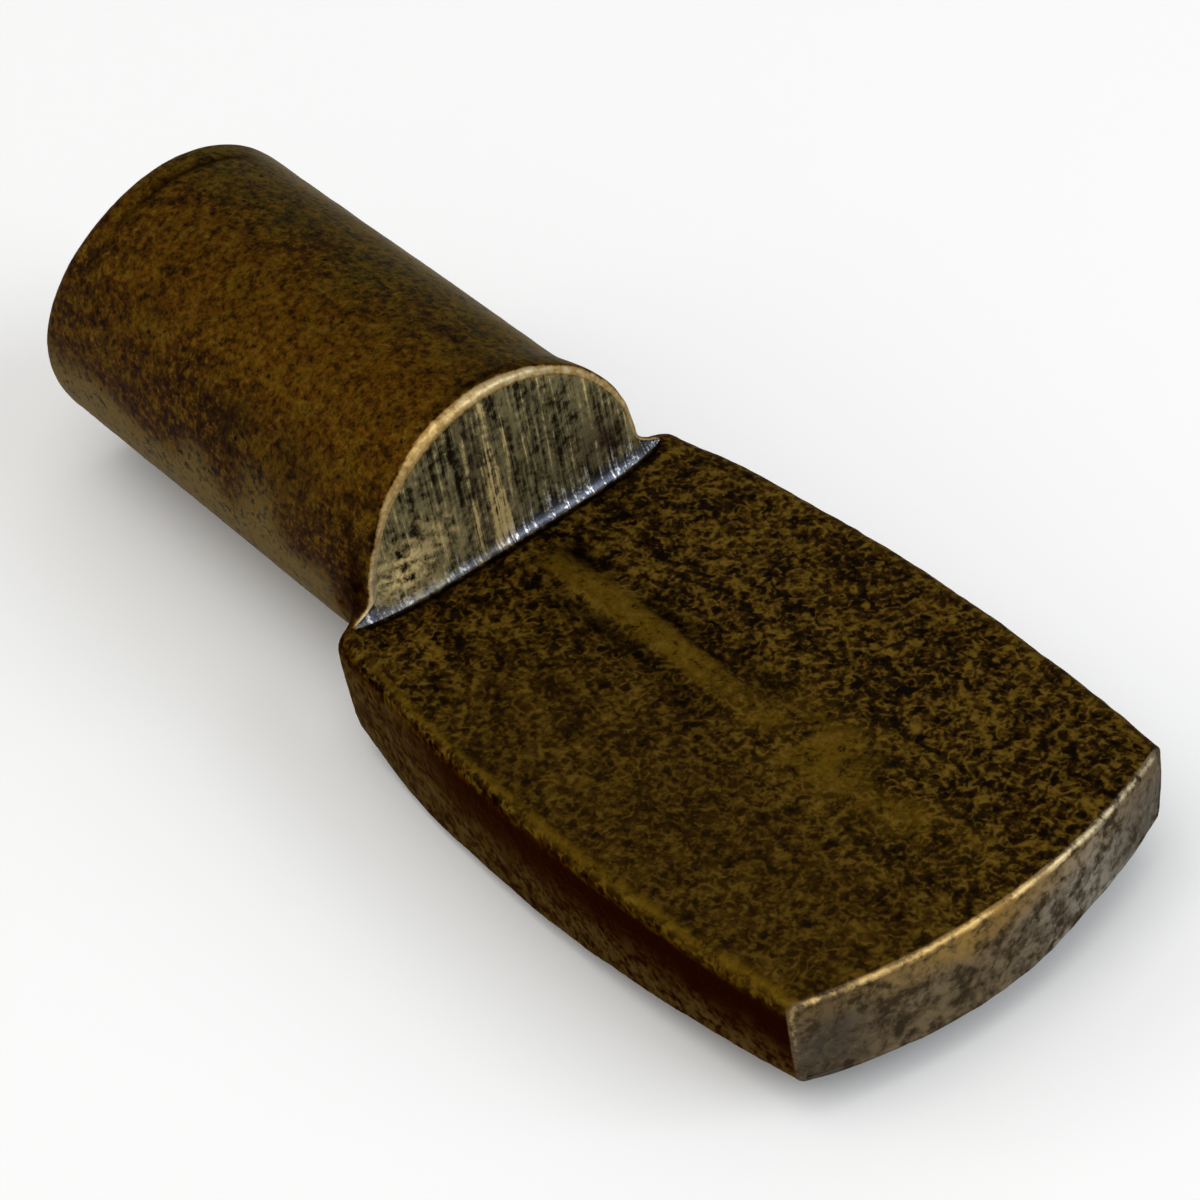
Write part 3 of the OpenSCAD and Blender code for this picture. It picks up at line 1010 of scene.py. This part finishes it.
        # Painted shade on the walls, with lighter brown grain for a painted floor reflection
        brown = self.blend(self.climb(grain * 0.6 + mottle * 0.4, 0.40, 0.60), finish.wall, finish.wall_brown_reflection)
        sides = self.blend(self.mask("wall_floor_reflection") * 0.85, finish.wall, brown)
        colour = self.blend(self.mask("wall"), colour, sides)
        line = self.mask("side_line") * self.climb(grain * 0.5 + mottle * 0.5, 0.30, 0.52)
        return self.blend(line * 0.9, colour, finish.gold)

    def step_face(self):
        """Slate with dark and straw threads, brown stains, gold on the left with painted highlights on its
        brightest grains, and a burnished foot painted with a bluish reflection and silver glints.
        """
        finish, threads, grain = self.finish, self.threads, self.grain
        thread = threads * 0.42 + grain * 0.34 + self.mottle * 0.24 + (self.mask("scores") - 0.5) * 0.14
        face = self.blend(self.climb(thread, 0.40, 0.57), finish.soot, finish.slate)
        face = self.blend(self.mask("ruddy") * 0.75, face, finish.ruddy)
        straw = self.climb(threads * 0.68 + grain * 0.32 + self.mask("gilt") * 0.15, 0.55, 0.69)
        face = self.blend(straw * 0.9, face, finish.straw)
        gilded = self.mask("gilded")
        mealy = self.coarse * 0.3 + grain * 0.7
        face = self.blend(gilded * self.climb(mealy, 0.38, 0.54) * 0.9, face, finish.straw)
        # Painted highlights on the brightest grains of the gilded spots
        face = self.blend(gilded * self.climb(mealy, 0.50, 0.60) * 0.8, face, finish.flax_highlight)
        # Painted bluish reflection on the burnished foot, then painted silver glints on its streaks
        face = self.blend(self.foot * 0.85, face, finish.steel_reflection)
        burnish = self.mask("streaks") * self.climb(threads * 0.65 + self.dust * 0.35, 0.51, 0.62)
        return self.blend(burnish, face, finish.silver_glint)

    def tip_face(self):
        """Mottled ash with a painted pale reflection on the right, dull stains at both ends, golden below its
        upper edge.
        """
        finish, grain, mottle = self.finish, self.grain, self.mottle
        patchy = self.climb(grain * 0.35 + mottle * 0.65, 0.39, 0.62)
        # Painted pale reflection towards +Y on the end face
        end = self.blend(patchy, finish.dusk, self.blend(self.mask("painted_end_reflection"), finish.ash, finish.pewter_reflection))
        end = self.blend(self.mask("tip_lead") * self.climb(mottle, 0.35, 0.60) * 0.8, end, finish.lead)
        warm = self.mask("tip_glow") * self.climb(mottle * 0.6 + grain * 0.4, 0.34, 0.58)
        return self.blend(warm * 0.95, end, finish.worn_gold)

    def worn_edges(self, colour):
        """Bare metal along the rim and the tip, and how much of the surface it covers."""
        finish, rim, painted_end_reflection = self.finish, self.mask("rim"), self.mask("painted_end_reflection")
        speckle = (self.grain - 0.5) * 0.9
        tip_wear = self.climb(self.mask("tip_edge") + speckle, 0.50, 0.95)
        # The painted end reflection also pales the worn edges and weights their wear towards +Y
        edge_tone = self.blend(painted_end_reflection, finish.brass, finish.bare)
        colour = self.blend(tip_wear * (painted_end_reflection * 0.3 + 0.7), colour, edge_tone)
        rim_wear = self.climb(rim + speckle * 1.4, 0.20, 0.75)
        colour = self.blend(rim_wear, colour, finish.worn_gold)
        rim_wear = rim_wear * self.climb(rim + speckle * 1.5, 0.62, 1.22)
        colour = self.blend(rim_wear, colour, self.blend(self.mask("rim_gold"), finish.bare, finish.brass))
        return colour, rim_wear + tip_wear * 0.7

    def finished(self):
        """The whole material."""
        oxide_and_shade, seat, rubbed, foot = self.mask("oxide_and_shade"), self.mask("seat"), self.rubbed, self.foot
        colour = self.walls(self.blend(seat, self.pin_patina(), self.seat_hide()))
        colour = self.blend(self.step, colour, self.step_face())
        colour = self.blend(self.mask("tip"), colour, self.tip_face())
        # Oxide in dents and grooves, and painted shade, darken the colour towards the pit tone
        colour = self.blend(oxide_and_shade * 0.84, colour, self.finish.pit)
        colour, bare = self.worn_edges(colour)
        metallic = 0.60 + bare * 0.25 + foot * 0.3 + self.mask("flank") * 0.4 + oxide_and_shade * 0.4
        roughness = 0.50 - bare * 0.05 - foot * 0.10 - rubbed * 0.06 + (self.mottle - 0.5) * 0.25
        height = self.worms * seat * (1 - rubbed * 0.7) + self.grain * 0.5 + self.dust * 0.25
        relief = self.node("ShaderNodeBump", None, {
            "Strength": 1.0, "Distance": GRAIN_HEIGHT * MM, "Height": height + self.threads * self.step,
        })
        shader = self.node("ShaderNodeBsdfPrincipled", None, {
            "Base Color": colour, "Metallic": metallic, "Roughness": roughness, "Normal": relief,
            "IOR": 1.14, "Specular Tint": (0.5, 0.42, 0.3, 1.0),
        })
        self.node("ShaderNodeOutputMaterial", None, {"Surface": shader})
        return self.material


class SHELFPIN_OT_make_pin(bpy.types.Operator):
    """Build the pin in place of its plain solid"""

    bl_idname = "shelf_pin.make_pin"
    bl_label = "Make pin"

    def execute(self, context):
        shape = PinShape(context.scene.shelf_pin_sizes)
        skin = build_skin(shape)
        mesh = bpy.data.meshes.new("shelf_pin_metal")
        mesh.from_pydata([tuple(p) for p in skin.points], [], skin.faces)
        work = bmesh.new()
        work.from_mesh(mesh)
        bmesh.ops.recalc_face_normals(work, faces=work.faces)
        work.to_mesh(mesh)
        work.free()
        normals = np.empty(skin.points.size)
        mesh.vertex_normals.foreach_get("vector", normals)
        worn, masks = wear_the_skin(
            shape, skin.points, normals.reshape(-1, 3), np.array(skin.zones), np.array(skin.edges))
        mesh.vertices.foreach_set("co", (worn * MM).ravel())
        for name, values in masks.items():
            attribute = mesh.attributes.new(name, "FLOAT", "POINT")
            attribute.data.foreach_set("value", np.asarray(values, np.float32))
        mesh.shade_smooth()
        mesh.update()
        if mesh.validate():
            raise RuntimeError("the pin's skin has faulty faces")
        mesh.materials.append(DarkenedBrass(context.scene.shelf_pin_finish).finished())
        pin = bpy.data.objects.new("shelf_pin_metal", mesh)
        context.scene.collection.objects.link(pin)
        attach(pin, "root")
        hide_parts("shelf_pin")
        return {"FINISHED"}


# The stage, in metres: the floor's half width, and what the lights point at
FLOOR_REACH = 1.2
LIGHT_TARGET = (0.002, 0.0, 0.0)
# Soft lights: name, place, size, power in watts and colour
LIGHTS = (
    ("window", (0.30, 0.16, 0.22), (0.26, 0.22), 0.75, (0.90, 0.95, 1.0)),
    ("overhead", (0.06, -0.10, 0.40), (0.34, 0.34), 0.78, (1.0, 0.99, 0.97)),
    ("left_fill", (-0.22, -0.26, 0.22), (0.22, 0.22), 0.22, (1.0, 0.95, 0.88)),
)
SKY_GREY = (0.5, 0.5, 0.5, 1.0)
SKY_STRENGTH = 0.9
# The camera's sensor and focal length in millimetres, and its nearest distance in metres
SENSOR_WIDTH = 36.0
FOCAL_LENGTH = 120.0
NEAREST = 0.001


def camera_axes(stage):
    """The camera's right, up and back directions, and its place in metres."""
    az, el, roll = stage.camera_azimuth, stage.camera_elevation, stage.camera_roll
    back = Vector((sin(az) * cos(el), -cos(az) * cos(el), sin(el)))
    level = Vector((cos(az), sin(az), 0))
    upright = back.cross(level)
    right = cos(roll) * level + sin(roll) * upright
    up = cos(roll) * upright - sin(roll) * level
    place = back * stage.camera_distance + right * stage.camera_right - up * stage.camera_down
    return right, up, back, place


def pale_floor(scene, floor_tone):
    """A plain floor under the part."""
    low = CAD_BOX[0].z
    mesh = bpy.data.meshes.new("floor")
    corners = [(x * FLOOR_REACH, y * FLOOR_REACH, low) for x, y in ((-1, -1), (1, -1), (1, 1), (-1, 1))]
    mesh.from_pydata(corners, [], [(0, 1, 2, 3)])
    floor = bpy.data.objects.new("floor", mesh)
    scene.collection.objects.link(floor)
    nodes = FinishNodes("pale_floor")
    shader = nodes.node("ShaderNodeBsdfPrincipled", None, {
        "Base Color": floor_tone, "Roughness": 0.9, "Specular IOR Level": 0.1,
    })
    nodes.node("ShaderNodeOutputMaterial", None, {"Surface": shader})
    mesh.materials.append(nodes.material)


def soft_light(scene, name, place, size, power, colour):
    light = bpy.data.lights.new(name, "AREA")
    light.shape = "RECTANGLE"
    light.size, light.size_y = size
    light.energy = power
    light.color = colour
    lamp = bpy.data.objects.new(name, light)
    lamp.location = place
    lamp.rotation_euler = (Vector(place) - Vector(LIGHT_TARGET)).to_track_quat("Z", "Y").to_euler()
    scene.collection.objects.link(lamp)


def studio_sky(scene):
    """An even grey all round."""
    world = bpy.data.worlds.new("studio")
    world.use_nodes = True
    background = world.node_tree.nodes["Background"]
    background.inputs["Color"].default_value = SKY_GREY
    background.inputs["Strength"].default_value = SKY_STRENGTH
    scene.world = world


def photo_camera(scene, stage):
    """The camera, at the photo's angle."""
    right, up, back, place = camera_axes(stage)
    lens = bpy.data.cameras.new("photo_camera")
    lens.sensor_width = SENSOR_WIDTH
    lens.lens = FOCAL_LENGTH
    lens.clip_start = NEAREST
    camera = bpy.data.objects.new("photo_camera", lens)
    turn = Matrix((right, up, back)).transposed()
    camera.matrix_world = Matrix.Translation(place) @ turn.to_4x4()
    scene.collection.objects.link(camera)
    scene.camera = camera


class SHELFPIN_OT_make_stage(bpy.types.Operator):
    """Lay the floor and set up the light and the camera"""

    bl_idname = "shelf_pin.make_stage"
    bl_label = "Make stage"

    def execute(self, context):
        scene = context.scene
        pale_floor(scene, scene.shelf_pin_stage.floor_tone)
        for light in LIGHTS:
            soft_light(scene, *light)
        studio_sky(scene)
        scene.view_settings.view_transform = "Standard"
        photo_camera(scene, scene.shelf_pin_stage)
        return {"FINISHED"}


class VIEW3D_PT_shelf_pin(bpy.types.Panel):
    """The pin's builders and what they can be given"""

    bl_label = "Shelf pin"
    bl_space_type = "VIEW_3D"
    bl_region_type = "UI"
    bl_category = "Shelf pin"

    def draw(self, context):
        scene = context.scene
        for operator in (SHELFPIN_OT_make_pin, SHELFPIN_OT_make_stage):
            self.layout.operator(operator.bl_idname)
        for group in (scene.shelf_pin_sizes, scene.shelf_pin_finish, scene.shelf_pin_stage):
            box = self.layout.box()
            for name in group.__annotations__:
                box.prop(group, name)


CLASSES = (
    ShelfPinSizes, ShelfPinFinish, ShelfPinStage,
    SHELFPIN_OT_make_pin, SHELFPIN_OT_make_stage, VIEW3D_PT_shelf_pin,
)


def register():
    for made in CLASSES:
        bpy.utils.register_class(made)
    bpy.types.Scene.shelf_pin_sizes = bpy.props.PointerProperty(type=ShelfPinSizes)
    bpy.types.Scene.shelf_pin_finish = bpy.props.PointerProperty(type=ShelfPinFinish)
    bpy.types.Scene.shelf_pin_stage = bpy.props.PointerProperty(type=ShelfPinStage)


def unregister():
    del bpy.types.Scene.shelf_pin_stage
    del bpy.types.Scene.shelf_pin_finish
    del bpy.types.Scene.shelf_pin_sizes
    for made in reversed(CLASSES):
        bpy.utils.unregister_class(made)


def main():
    register()
    bpy.ops.shelf_pin.make_pin()
    bpy.ops.shelf_pin.make_stage()


if __name__ == "__main__":
    main()
